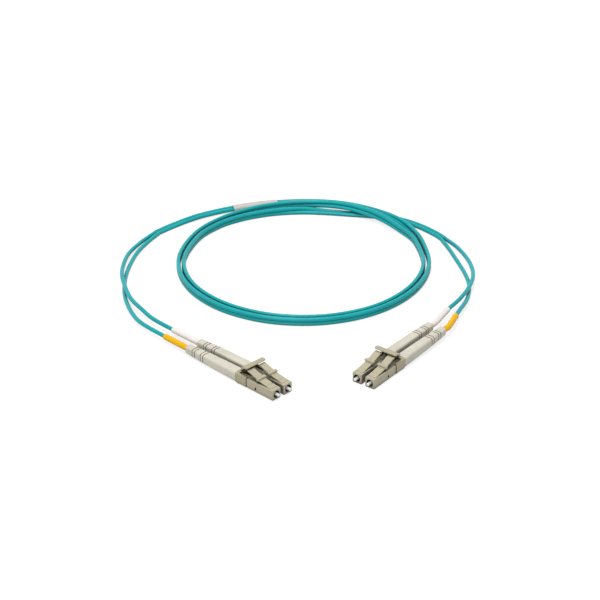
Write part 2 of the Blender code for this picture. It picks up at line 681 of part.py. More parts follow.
def end_matrix(tips, heading, tilt):
    """Turns and tilts an end about its foot's front edge, which stays on the floor."""
    cosine, sine = math.cos(heading), math.sin(heading)
    pivot = Vector((tips[0] + FOOT_FRONT * cosine, tips[1] + FOOT_FRONT * sine, 0.0))
    turned = Matrix.Rotation(heading, 4, "Z") @ Matrix.Rotation(tilt, 4, "Y")
    return Matrix.Translation(pivot) @ turned @ Matrix.Translation((-FOOT_FRONT, 0.0, 0.0))


def build_end(side, tips, heading, tilt, yellow_side):
    frame = bpy.data.objects.new(side + "_end", None)
    bpy.context.scene.collection.objects.link(frame)
    frame.matrix_world = end_matrix(tips, heading, tilt)
    half = PLUG_PITCH / 2
    build_plug(side + "_yellow", frame, yellow_side * half)
    build_plug(side + "_white", frame, -yellow_side * half)
    duplex_clip(side + "_duplex_clip", frame)
    trigger(side + "_trigger", frame)
    return frame.matrix_world.copy()


def smooth_route(points, per_span=12):
    """A smooth curve through the points, as a dense list."""
    points = [Vector(point) for point in points]
    ends = [2 * points[0] - points[1], *points, 2 * points[-1] - points[-2]]
    dense = []
    for a, b, c, d in zip(ends, ends[1:], ends[2:], ends[3:]):
        for i in range(per_span):
            t = i / per_span
            bend = (2 * a - 5 * b + 4 * c - d) * t + (3 * b - a - 3 * c + d) * t * t
            dense.append(b + 0.5 * t * ((c - a) + bend))
    dense.append(points[-1])
    return dense


def distances(points):
    """Distance along the route at each of its points."""
    total = [0.0]
    for a, b in zip(points, points[1:]):
        total.append(total[-1] + (b.xyz - a.xyz).length)
    return total


def part_of(points, start, stop, step):
    """The stretch from start to stop along the route, as evenly spaced points."""
    along = distances(points)
    count = max(round((stop - start) / step), 1)
    wanted = [start + (stop - start) * i / count for i in range(count + 1)]
    found = []
    i = 0
    for distance in wanted:
        while i < len(points) - 2 and along[i + 1] < distance:
            i += 1
        share = (distance - along[i]) / (along[i + 1] - along[i])
        found.append(points[i].lerp(points[i + 1], share))
    return found


def between(points, start, stop):
    """The stretch from start to stop with the route's own points, so both bend at the same places."""
    along = distances(points)
    ends = part_of(points, start, stop, stop - start)
    inner = [point for point, at in zip(points, along) if start + EASE < at < stop - EASE]
    return [ends[0], *inner, ends[-1]]


def around_coil(stations):
    """The stations as points of the route, each with its roll in radians as a fourth value."""
    points = []
    for angle, radius, height, roll in stations:
        turn = math.radians(angle)
        x = COIL_CENTRE[0] + MM * radius * math.sin(turn)
        y = COIL_CENTRE[1] + MM * radius * math.cos(turn)
        points.append((x, y, MM * height, math.radians(roll)))
    return points


def zip_profile():
    """Half of the jacket's figure of eight on each side of the waist, as a flat closed curve."""
    curve = bpy.data.curves.new("zip_profile", "CURVE")
    spline = curve.splines.new("POLY")
    outline = []
    for side in (1, -1):
        for i in range(5):
            angle = math.radians(-90 + 45 * i)
            lobe_x = STRAND_OFFSET + LEG_RADIUS * math.cos(angle)
            outline.append((side * lobe_x, side * LEG_RADIUS * math.sin(angle)))
        outline.append((0.0, side * ZIP_WAIST))
    spline.points.add(len(outline) - 1)
    for target, (x, y) in zip(spline.points, reversed(outline)):
        target.co = (x, y, 0.0, 1.0)
    spline.use_cyclic_u = True
    guide = place("zip_profile", curve, None)
    guide.hide_render = True
    guide.display_type = "WIRE"
    return guide


def zip_piece(name, points, profile):
    curve = tube(name, points, 0.0, 0)
    curve.bevel_mode = "OBJECT"
    curve.bevel_object = profile
    curve.twist_mode = "Z_UP"
    for target, point in zip(curve.splines[0].points, points):
        target.tilt = point.w
    return piece(name, curve, JACKET_AQUA)


def strand_centres(points, step):
    """Both fibres' centre lines along the zip, as one array each."""
    dense = np.array(part_of(points, 0.0, distances(points)[-1], step))
    centre, roll = dense[:, :3], dense[:, 3:]
    along = np.gradient(centre, axis=0)
    level = np.stack([-along[:, 1], along[:, 0], 0 * along[:, 0]], axis=1)
    up = np.cross(along, level)
    level /= np.linalg.norm(level, axis=1)[:, None]
    up /= np.linalg.norm(up, axis=1)[:, None]
    across = STRAND_OFFSET * (np.cos(roll) * level + np.sin(roll) * up)
    return centre + across, centre - across


def report_least_gap(points, step=0.001):
    """Prints the coil's least gap to itself, between places that aren't next to each other along it."""
    strands = strand_centres(points, step)
    skip = round(LEAST_APART / step)
    least = 1.0
    for first in strands:
        for second in strands:
            for i in range(len(first) - skip):
                away = np.linalg.norm(second[i + skip :] - first[i], axis=1)
                least = min(least, float(away.min()))
    print(f"least gap of the coil to itself: {(least - 2 * LEG_RADIUS) / MM:.2f} mm")


def build_zip():
    """Cuts one route into a run, the coil and a run, and returns it with the label's stretch of it."""
    profile = zip_profile()
    route = smooth_route(around_coil(LEFT_RUN + COIL + RIGHT_RUN))
    marks = distances(smooth_route(around_coil(LEFT_RUN + COIL[:1])))[-1]
    total = distances(route)[-1]
    tail = distances(smooth_route(around_coil(COIL[-1:] + RIGHT_RUN)))[-1]
    coil = part_of(route, marks, total - tail - FACE_GAP, COIL_STEP)
    zip_piece("zip_run_left", part_of(route, 0.0, marks - FACE_GAP, RUN_STEP), profile)
    zip_piece("zip_coil", coil, profile)
    zip_piece("zip_run_right", part_of(route, total - tail, total, RUN_STEP), profile)
    report_least_gap(coil)
    print(f"length of the zip: {total:.4f} m")
    label_route = between(coil, LABEL_START - marks, LABEL_START - marks + LABEL_LENGTH)
    return [point.xyz for point in route], [point.xyz for point in label_route]


def frames_along(points):
    """A matrix at each point, with x along the route and y level."""
    frames = []
    for i, point in enumerate(points):
        along = (points[min(i + 1, len(points) - 1)] - points[max(i - 1, 0)]).normalized()
        across = Vector((-along.y, along.x, 0.0)).normalized()
        up = along.cross(across)
        turn = Matrix((along, across, up)).transposed().to_4x4()
        frames.append(Matrix.Translation(point) @ turn)
    return frames


def carried(loop, frame):
    return [frame @ Vector(point) for point in loop]


def sleeve_along(name, points, outer, inner):
    """A hollow sleeve along the points. Outer and inner are loops across x = 0."""
    frames = frames_along(points)
    loops = [carried(outer, frame) for frame in frames]
    loops += [carried(inner, frame) for frame in reversed(frames)]
    return skin(name, loops, joined=True)


def build_label(points):
    width, height = LABEL_BORE_HALF_WIDTH, LABEL_BORE_HALF_HEIGHT
    inner = rounded(0.0, width, -height, height, 0.95 * height)
    width, height = width + LABEL_WALL, height + LABEL_WALL
    outer = rounded(0.0, width, -height, height, 0.95 * height)
    piece("cord_label", sleeve_along("cord_label", points, outer, inner), LABEL_FILM)


def leg_route(frame, y, free_points, split, along, side):
    """From inside the boot, straight out of it and on to one side of the split."""
    across = Vector((-along.y, along.x, 0.0)) * side * SPLIT_OFFSET
    straight = (LEG_START, BOOT_CAVITY_REAR, BOOT_REAR, BOOT_REAR - BOOT_LEAD)
    inside = [frame @ Vector((x, y, AXIS_HEIGHT)) for x in straight]
    free = [MM * Vector(point) for point in free_points]
    last = split + across - along * FACE_GAP
    return smooth_route([*inside, *free, last])


def build_leg(prefix, frame, y, free_points, split, along, side, marker, marker_length):
    route = leg_route(frame, y, free_points, split, along, side)
    total = distances(route)[-1]
    points = part_of(route, 0.0, total, LEG_STEP)
    piece(prefix + "_leg", tube(prefix + "_leg", points, LEG_RADIUS, 2), JACKET_AQUA)
    start = LEG_START - BOOT_REAR + FACE_GAP
    sleeve = between(points, start, start + marker_length)
    outer = ring(0.0, MARKER_RADIUS, 12)
    inner = ring(0.0, MARKER_BORE_RADIUS, 12)
    piece(prefix + "_marker", sleeve_along(prefix + "_marker", sleeve, outer, inner), marker)
    print(f"length of {prefix}_leg: {total:.4f} m")


def main():
    clear_scene()
    left = build_end("left", LEFT_TIPS, LEFT_HEADING, LEFT_TILT, yellow_side=-1)
    right = build_end("right", RIGHT_TIPS, RIGHT_HEADING, RIGHT_TILT, yellow_side=1)
    route, label_route = build_zip()
    build_label(label_route)
    half = PLUG_PITCH / 2
    white = (MARKER_WHITE, WHITE_MARKER_LENGTH)
    yellow = (MARKER_YELLOW, YELLOW_MARKER_LENGTH)
    into_left = (route[1] - route[0]).normalized()
    into_right = (route[-2] - route[-1]).normalized()
    build_leg("left_white", left, half, LEFT_WHITE_ROUTE, route[0], into_left, 1, *white)
    build_leg("left_yellow", left, -half, LEFT_YELLOW_ROUTE, route[0], into_left, -1, *yellow)
    build_leg("right_white", right, -half, RIGHT_WHITE_ROUTE, route[-1], into_right, -1, *white)
    build_leg("right_yellow", right, half, RIGHT_YELLOW_ROUTE, route[-1], into_right, 1, *yellow)


main()
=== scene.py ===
"""Scene for a coiled two-fibre patch cord with a pair of snap-in plugs at each end.

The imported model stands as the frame. This file gives every moulded, ceramic and metal piece its
finish, and lays the round legs, the joined zip cord, the marker sleeves and the label over their
plain solids. Lengths are in metres and +Z is up.
"""

import json
import logging
import math
from collections.abc import Callable
from dataclasses import dataclass, field
from enum import Enum

import bmesh
import bpy
from mathutils import Matrix, Vector

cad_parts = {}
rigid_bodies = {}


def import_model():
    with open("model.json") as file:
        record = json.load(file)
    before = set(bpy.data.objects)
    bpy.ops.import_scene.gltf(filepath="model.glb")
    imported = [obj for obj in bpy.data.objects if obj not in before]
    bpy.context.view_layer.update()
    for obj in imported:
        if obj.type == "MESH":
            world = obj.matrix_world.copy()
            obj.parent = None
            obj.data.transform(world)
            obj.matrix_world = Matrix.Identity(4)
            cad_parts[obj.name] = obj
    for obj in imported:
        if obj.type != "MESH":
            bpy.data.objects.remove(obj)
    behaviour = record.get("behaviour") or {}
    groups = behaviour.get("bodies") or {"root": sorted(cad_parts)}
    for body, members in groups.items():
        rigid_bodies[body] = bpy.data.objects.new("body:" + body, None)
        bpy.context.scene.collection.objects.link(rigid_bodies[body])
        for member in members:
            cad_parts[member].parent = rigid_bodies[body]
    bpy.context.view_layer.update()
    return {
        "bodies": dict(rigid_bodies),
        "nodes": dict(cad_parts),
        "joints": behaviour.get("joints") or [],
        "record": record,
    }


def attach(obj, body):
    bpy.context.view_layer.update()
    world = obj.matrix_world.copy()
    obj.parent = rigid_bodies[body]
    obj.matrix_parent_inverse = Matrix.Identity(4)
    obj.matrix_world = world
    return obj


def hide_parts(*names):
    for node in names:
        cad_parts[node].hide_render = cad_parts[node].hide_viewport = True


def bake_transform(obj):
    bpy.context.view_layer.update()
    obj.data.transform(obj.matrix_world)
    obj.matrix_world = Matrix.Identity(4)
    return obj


LOG = logging.getLogger("patch_cord")
MM = 0.001
ROOT_BODY = "cord_and_plug_bodies"
Colour = tuple[float, float, float]
Point = tuple[float, float, float]
Station = tuple[float, float, float, float]
Section = Callable[[float], list[Point]]
Socket = bpy.types.NodeSocket

# The part of 0 to 1 that most of a noise field fills, and the part of it over which a tint turns
# from dark to light.
NOISE_LOW, NOISE_HIGH = 0.25, 0.75
TINT_LOW, TINT_HIGH = 0.3, 0.7

# How far the painted shade looks into a crevice, and the openness below which the painted shade
# is at its darkest and above which none is painted.
CREVICE_REACH = 0.003
CREVICE_CLOSED, CREVICE_OPEN = 0.35, 0.9

SHARP_ANGLE = math.radians(50)
WELD_DISTANCE = 0.000001
WHITE = (1.0, 1.0, 1.0, 1.0)

# Where the middle of a sleeve's rounded outer edge lies, as shares of the rounding: how far in
# from the end, and how far below the outside.
LIP_RUN, LIP_DROP = 0.4, 0.3


class Side(Enum):
    """The two ends of the cord."""

    LEFT = "left"
    RIGHT = "right"


class Code(Enum):
    """The two plugs of an end, told apart by their marker sleeves."""

    YELLOW = "yellow"
    WHITE = "white"


class Weathering(Enum):
    """How far a surface's colour wanders from its own tint."""

    CLEAN = 0.03
    HANDLED = 0.07


# --------------------------------------------------------------------------- finishes


class Shader:
    """A Principled material under construction, with the few nodes that these finishes need."""

    def __init__(self, name: str) -> None:
        """Starts an empty Principled material.

        Args:
            name: what it is called.
        """
        self.material = bpy.data.materials.new(name)
        self.material.use_nodes = True
        self.nodes = self.material.node_tree.nodes
        self.links = self.material.node_tree.links
        self.surface = self.nodes["Principled BSDF"]
        self.place = self.nodes.new("ShaderNodeTexCoord").outputs["Object"]

    def fix(self, **sockets: float) -> None:
        """Sets plain numbers on the shader, with underscores for the spaces in socket names."""
        for name, value in sockets.items():
            self.surface.inputs[name.replace("_", " ")].default_value = value

    def noise(self, size: float, detail: float = 2.0) -> Socket:
        """Adds a noise field in the piece's own space.

        Args:
            size: width of one patch of the noise, in metres.
            detail: how many finer layers it has.

        Returns:
            The noise's value, from 0 to 1.
        """
        node = self.nodes.new("ShaderNodeTexNoise")
        node.inputs["Scale"].default_value = 1.0 / size
        node.inputs["Detail"].default_value = detail
        self.links.new(self.place, node.inputs["Vector"])
        return node.outputs["Fac"]

    def spread(self, value: Socket, low: float, high: float) -> Socket:
        """Maps a field from the middle half of 0 to 1 onto low to high.

        Args:
            value: the field.
            low: what its low places become.
            high: what its high places become.

        Returns:
            The mapped field.
        """
        node = self.nodes.new("ShaderNodeMapRange")
        node.inputs["From Min"].default_value = NOISE_LOW
        node.inputs["From Max"].default_value = NOISE_HIGH
        node.inputs["To Min"].default_value = low
        node.inputs["To Max"].default_value = high
        self.links.new(value, node.inputs["Value"])
        return node.outputs["Result"]

    def tint(self, value: Socket, dark: Colour, light: Colour, painted_shade: float = 0.0) -> None:
        """Colours the surface between two tints by a field.

        Args:
            value: the field.
            dark: colour where it is low.
            light: colour where it is high.
            painted_shade: how far painted shade darkens the colour in the depth of a slit or a recess.
        """
        ramp = self.nodes.new("ShaderNodeValToRGB")
        ramp.color_ramp.elements[0].position = TINT_LOW
        ramp.color_ramp.elements[0].color = (*dark, 1.0)
        ramp.color_ramp.elements[1].position = TINT_HIGH
        ramp.color_ramp.elements[1].color = (*light, 1.0)
        self.links.new(value, ramp.inputs["Fac"])
        colour = ramp.outputs["Color"]
        # Painted shade: the colour turns darker in slits, recesses and near other surfaces, by ambient
        # occlusion.
        if painted_shade > 0:
            colour = self.paint_crevice_shade(colour, shaded(dark, painted_shade))
        self.links.new(colour, self.surface.inputs["Base Color"])

    def paint_crevice_shade(self, colour: Socket, deep: Colour) -> Socket:
        """Paints shade into a colour in the depth of slits and recesses and near other surfaces, by
        ambient occlusion.

        Args:
            colour: the open surface's colour.
            deep: the colour of the painted shade in the deepest places.

        Returns:
            The mixed colour.
        """
        crevice = self.nodes.new("ShaderNodeAmbientOcclusion")
        crevice.inputs["Distance"].default_value = CREVICE_REACH
        openness = self.nodes.new("ShaderNodeMapRange")
        openness.inputs["From Min"].default_value = CREVICE_CLOSED
        openness.inputs["From Max"].default_value = CREVICE_OPEN
        self.links.new(crevice.outputs["AO"], openness.inputs["Value"])
        mix = self.nodes.new("ShaderNodeMix")
        mix.data_type = "RGBA"
        mix.inputs["A"].default_value = (*deep, 1.0)
        self.links.new(openness.outputs["Result"], mix.inputs["Factor"])
        self.links.new(colour, mix.inputs["B"])
        return mix.outputs["Result"]

    def gloss(self, value: Socket, low: float, high: float) -> None:
        """Lets the roughness wander between low and high by a field."""
        self.links.new(self.spread(value, low, high), self.surface.inputs["Roughness"])

    def relief(self, value: Socket, height: float) -> None:
        """Raises the surface by a field, on top of any relief that it has.

        Args:
            value: the field.
            height: how far its high places stand out, in metres.
        """
        node = self.nodes.new("ShaderNodeBump")
        node.inputs["Distance"].default_value = height
        node.inputs["Strength"].default_value = 1.0
        self.links.new(value, node.inputs["Height"])
        normal = self.surface.inputs["Normal"]
        if normal.is_linked:
            self.links.new(normal.links[0].from_socket, node.inputs["Normal"])
        self.links.new(node.outputs["Normal"], normal)


def shaded(colour: Colour, share: float) -> Colour:
    """The colour made darker, or with a negative share lighter, by that share."""
    return tuple(min(channel * (1.0 - share), 1.0) for channel in colour)


@dataclass(frozen=True)
class MouldedPlastic:
    """Spark-eroded moulded plastic: a fine grain, a cloudy tint and an uneven sheen."""

    name: str
    colour: Colour
    roughness: float = 0.42
    grain: float = 0.00012
    grain_height: float = 0.000004
    cloud: float = 0.006
    sheen_patch: float = 0.0015
    sheen_range: tuple[float, float] = (-0.05, 0.06)
    wander: Weathering = Weathering.CLEAN
    scatter: float = 0.0
    scatter_depth: float = 0.0006
    refraction: float = 1.5
    specular: float = 0.4
    # Painted shade: how far the colour darkens in slits, recesses and near other surfaces.
    painted_shade: float = 0.85

    def material(self) -> bpy.types.Material:
        """Builds the finish.

        Returns:
            The material.
        """
        shader = Shader(self.name)
        clouds = shader.noise(self.cloud, 3.0)
        wander = self.wander.value
        shader.tint(clouds, shaded(self.colour, wander), shaded(self.colour, -wander), self.painted_shade)
        low, high = self.sheen_range
        shader.gloss(shader.noise(self.sheen_patch), self.roughness + low, self.roughness + high)
        shader.relief(shader.noise(self.grain), self.grain_height)
        shader.fix(IOR=self.refraction, Specular_IOR_Level=self.specular)
        shader.fix(Subsurface_Weight=self.scatter, Subsurface_Scale=self.scatter_depth)
        return shader.material


@dataclass(frozen=True)
class CordJacket:
    """Extruded cord jacket: satin, slightly uneven in tint, sheen and thickness along the cord."""

    name: str
    colour: Colour
    roughness: float = 0.3
    sheen_patch: float = 0.002
    sheen_range: tuple[float, float] = (-0.05, 0.07)
    band: float = 0.012
    wander: float = 0.06
    dent: float = 0.0009
    dent_height: float = 0.000012
    refraction: float = 1.48
    specular: float = 0.26
    # Painted shade: how far the colour darkens between the strands and near other surfaces.
    painted_shade: float = 0.45

    def material(self) -> bpy.types.Material:
        """Builds the finish.

        Returns:
            The material.
        """
        shader = Shader(self.name)
        bands = shader.noise(self.band)
        shader.tint(bands, shaded(self.colour, self.wander), shaded(self.colour, -self.wander), self.painted_shade)
        low, high = self.sheen_range
        shader.gloss(shader.noise(self.sheen_patch), self.roughness + low, self.roughness + high)
        shader.relief(shader.noise(self.dent), self.dent_height)
        shader.fix(IOR=self.refraction, Specular_IOR_Level=self.specular)
        return shader.material


@dataclass(frozen=True)
class PolishedCeramic:
    """Ground and polished white zirconia, with a faint depth to it."""

    name: str
    colour: Colour
    patch: float = 0.0008
    wander: float = 0.03
    sheen_patch: float = 0.0004
    roughness_range: tuple[float, float] = (0.1, 0.18)
    refraction: float = 2.1
    scatter: float = 0.15
    scatter_depth: float = 0.0003

    def material(self) -> bpy.types.Material:
        """Builds the finish.

        Returns:
            The material.
        """
        shader = Shader(self.name)
        shader.tint(shader.noise(self.patch, 1.0), shaded(self.colour, self.wander), self.colour)
        shader.gloss(shader.noise(self.sheen_patch, 1.0), *self.roughness_range)
        shader.fix(IOR=self.refraction)
        shader.fix(Subsurface_Weight=self.scatter, Subsurface_Scale=self.scatter_depth)
        return shader.material


@dataclass(frozen=True)
class TurnedMetal:
    """Turned or drawn metal, with a very fine grain and a patchy sheen."""

    name: str
    colour: Colour
    roughness: float = 0.3
    sheen_patch: float = 0.0003
    sheen_spread: float = 0.08
    patch: float = 0.001
    wander: float = 0.08
    grain: float = 0.0001
    grain_height: float = 0.000003

    def material(self) -> bpy.types.Material:
        """Builds the finish.

        Returns:
            The material.
        """
        shader = Shader(self.name)
        shader.tint(shader.noise(self.patch), shaded(self.colour, self.wander), self.colour)
        sheen = shader.noise(self.sheen_patch, 3.0)
        shader.gloss(sheen, self.roughness - self.sheen_spread, self.roughness + self.sheen_spread)
        shader.relief(shader.noise(self.grain), self.grain_height)
        shader.fix(Metallic=1.0)
        return shader.material


@dataclass(frozen=True)
class WrapFilm:
    """Matt printable film, bare, with the slight mottling of its glue beneath."""

    name: str
    colour: Colour
    mottle: float = 0.0018
    darker: float = 0.1
    lighter: float = 0.03
    sheen_patch: float = 0.0008
    roughness_range: tuple[float, float] = (0.42, 0.6)
    ripple: float = 0.0007
    ripple_height: float = 0.00002
    refraction: float = 1.46
    coat: float = 0.1
    coat_roughness: float = 0.3

    def material(self) -> bpy.types.Material:
        """Builds the finish.

        Returns:
            The material.
        """
        shader = Shader(self.name)
        mottling = shader.noise(self.mottle, 3.0)
        shader.tint(mottling, shaded(self.colour, self.darker), shaded(self.colour, -self.lighter))
        shader.gloss(shader.noise(self.sheen_patch), *self.roughness_range)
        shader.relief(shader.noise(self.ripple), self.ripple_height)
        shader.fix(IOR=self.refraction, Coat_Weight=self.coat, Coat_Roughness=self.coat_roughness)
        return shader.material


@dataclass
class Palette:
    """Every finish of the cord, built once."""

    housing: bpy.types.Material = field(init=False)
    clip: bpy.types.Material = field(init=False)
    boot: bpy.types.Material = field(init=False)
    body: bpy.types.Material = field(init=False)
    ceramic: bpy.types.Material = field(init=False)
    steel: bpy.types.Material = field(init=False)
    jacket: bpy.types.Material = field(init=False)
    label: bpy.types.Material = field(init=False)
    markers: dict[Code, bpy.types.Material] = field(init=False)

    def __post_init__(self) -> None:
        """Builds the materials."""
        self.housing = MouldedPlastic("housing_beige", (0.48, 0.44, 0.31), 0.4).material()
        self.clip = MouldedPlastic("clip_beige", (0.44, 0.4, 0.26), 0.42).material()
        self.body = MouldedPlastic("rear_body_beige", (0.42, 0.38, 0.27), 0.45).material()
        # The boot's painted shade in its slits is lighter than that of the other plastics.
        boot = MouldedPlastic(
            "boot_cream", (0.66, 0.63, 0.53), 0.5, wander=Weathering.HANDLED, scatter=0.1, painted_shade=0.45
        )
        self.boot = boot.material()
        self.ceramic = PolishedCeramic("ferrule_white", (0.86, 0.86, 0.86)).material()
        self.steel = TurnedMetal("plain_steel", (0.55, 0.54, 0.52)).material()
        self.jacket = CordJacket("jacket_aqua", (0.001, 0.39, 0.41)).material()
        self.label = WrapFilm("label_film", (0.62, 0.59, 0.55)).material()
        yellow = MouldedPlastic("marker_yellow", (0.88, 0.48, 0.0), 0.45, specular=0.2)
        white = MouldedPlastic("marker_white", (0.86, 0.81, 0.8), 0.4, scatter=0.1)
        self.markers = {Code.YELLOW: yellow.material(), Code.WHITE: white.material()}


# --------------------------------------------------------------------------- routes


def smooth_route(points: list[tuple[float, ...]], per_span: int = 12) -> list[Vector]:
    """Draws a smooth curve through points.

    Args:
        points: the places that it passes, each of which may carry a roll as a fourth value.
        per_span: how many points each span gets.

    Returns:
        A dense list of points.
    """
    stops = [Vector(point) for point in points]
    ends = [2 * stops[0] - stops[1], *stops, 2 * stops[-1] - stops[-2]]
    dense = []
    for a, b, c, d in zip(ends, ends[1:], ends[2:], ends[3:]):
        for i in range(per_span):
            t = i / per_span
            bend = (2 * a - 5 * b + 4 * c - d) * t + (3 * b - a - 3 * c + d) * t * t
            dense.append(b + 0.5 * t * ((c - a) + bend))
    dense.append(stops[-1])
    return dense


def distances(points: list[Vector]) -> list[float]:
    """Measures along a route.

    Args:
        points: the route.

    Returns:
        The distance from its start at each of its points.
    """
    total = [0.0]
    for a, b in zip(points, points[1:]):
        total.append(total[-1] + (b.xyz - a.xyz).length)
    return total


def part_of(points: list[Vector], start: float, stop: float, step: float) -> list[Vector]:
    """Cuts a stretch out of a route.

    Args:
        points: the route.
        start: where the stretch begins, as a distance along it.
        stop: where it ends.
        step: about how far apart its points are.

    Returns:
        Evenly spaced points from start to stop.
    """
    along = distances(points)
    count = max(round((stop - start) / step), 1)
    found = []
    i = 0
    for k in range(count + 1):
        distance = start + (stop - start) * k / count
        while i < len(points) - 2 and along[i + 1] < distance:
            i += 1
        share = (distance - along[i]) / (along[i + 1] - along[i])
        found.append(points[i].lerp(points[i + 1], share))
    return found


def frames_along(points: list[Vector]) -> list[Matrix]:
    """Stands a frame at each point of a route, with x along it and y level before its roll.

    Args:
        points: the route, whose points may carry a roll about x as a fourth value.

    Returns:
        A matrix for each point.
    """
    frames = []
    for i, point in enumerate(points):
        along = (points[min(i + 1, len(points) - 1)].xyz - points[max(i - 1, 0)].xyz).normalized()
        across = Vector((-along.y, along.x, 0.0)).normalized()
        turn = Matrix((along, across, along.cross(across))).transposed().to_4x4()
        roll = point.w if len(point) == 4 else 0.0
        frames.append(Matrix.Translation(point.xyz) @ turn @ Matrix.Rotation(roll, 4, "X"))
    return frames


# --------------------------------------------------------------------------- meshes


def show(name: str, data: bpy.types.ID, material: bpy.types.Material) -> bpy.types.Object:
    """Makes an object from a mesh or curve that rides with the plug bodies.

    Args:
        name: the piece's name.
        data: its mesh or curve.
        material: its finish.

    Returns:
        The new piece.
    """
    data.materials.append(material)
    piece = bpy.data.objects.new(name, data)
    bpy.context.scene.collection.objects.link(piece)
    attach(piece, ROOT_BODY)
    LOG.info("piece %s", name)
    return piece


def swept(name: str, loops: list[list[Vector]], joined: bool) -> bpy.types.Mesh:
    """Skins loops of equal length into one smooth closed body.

    Args:
        name: the mesh's name.
        loops: the sections, in order.
        joined: True closes the last loop onto the first, False caps both ends.

    Returns:
        The mesh.
    """
    bm = bmesh.new()
    rows = [[bm.verts.new(point) for point in loop] for loop in loops]
    pairs = list(zip(rows, rows[1:]))
    if joined:
        pairs.append((rows[-1], rows[0]))
    else:
        bm.faces.new(rows[0])
        bm.faces.new(rows[-1])
    for near, far in pairs:
        for i in range(len(near)):
            j = (i + 1) % len(near)
            bm.faces.new((near[i], near[j], far[j], far[i]))
    bmesh.ops.recalc_face_normals(bm, faces=bm.faces)
    mesh = bpy.data.meshes.new(name)
    bm.to_mesh(mesh)
    bm.free()
    mesh.shade_smooth()
    mesh.set_sharp_from_angle(angle=SHARP_ANGLE)
    return mesh


def round_section(radius: float, count: int = 32) -> list[Point]:
    """A circle of points across x."""
    turns = [math.tau * i / count for i in range(count)]
    return [(0.0, radius * math.cos(turn), radius * math.sin(turn)) for turn in turns]


def stadium_section(half_width: float, half_height: float, count: int = 14) -> list[Point]:
    """Draws a flat-sided oval across x.

    Args:
        half_width: half of its width, along y.
        half_height: half of its height, along z, which is also its ends' radius.
        count: how many points go round each end.

    Returns:
        The points.
    """
    points = []
    for side in (1, -1):
        for i in range(count):
            angle = math.pi * (i / (count - 1) - 0.5)
            y = side * (half_width - half_height + half_height * math.cos(angle))
            points.append((0.0, y, side * half_height * math.sin(angle)))
    return points


def sleeve_loops(points: list[Vector], bore: Section, wall: float, lip: float) -> list[list[Vector]]:
    """The loops of a thin sleeve along a route, out along its outside and back along its bore.

    Args:
        points: the stretch of route that it covers.
        bore: makes a section that is wider than the bore by the length it is given.
        wall: the sleeve's thickness.
        lip: how far its outer edges are rounded off, by two steps at each end.

    Returns:
        Loops of equal length, of which the last joins the first.
    """
    frames = frames_along(points)
    start, stop = frames[0], frames[-1]
    inward = Vector((LIP_RUN * lip, 0.0, 0.0))
    step_height = wall - LIP_DROP * lip
    rounded_in = [(start, wall - lip), (start @ Matrix.Translation(inward), step_height)]
    outer = [(frame, wall) for frame in frames[1:-1]]
    rounded_out = [(stop @ Matrix.Translation(-inward), step_height), (stop, wall - lip)]
    inner = [(frame, 0.0) for frame in reversed(frames)]
    stations = [*rounded_in, *outer, *rounded_out, *inner]
    return [[frame @ Vector(point) for point in bore(extra)] for frame, extra in stations]


# --------------------------------------------------------------------------- studio


@dataclass(frozen=True)
class Lamp:
    """A square soft lamp: its name, where it hangs, its side in metres and its power in watts."""

    name: str
    at: Point
    size: float
    power: float


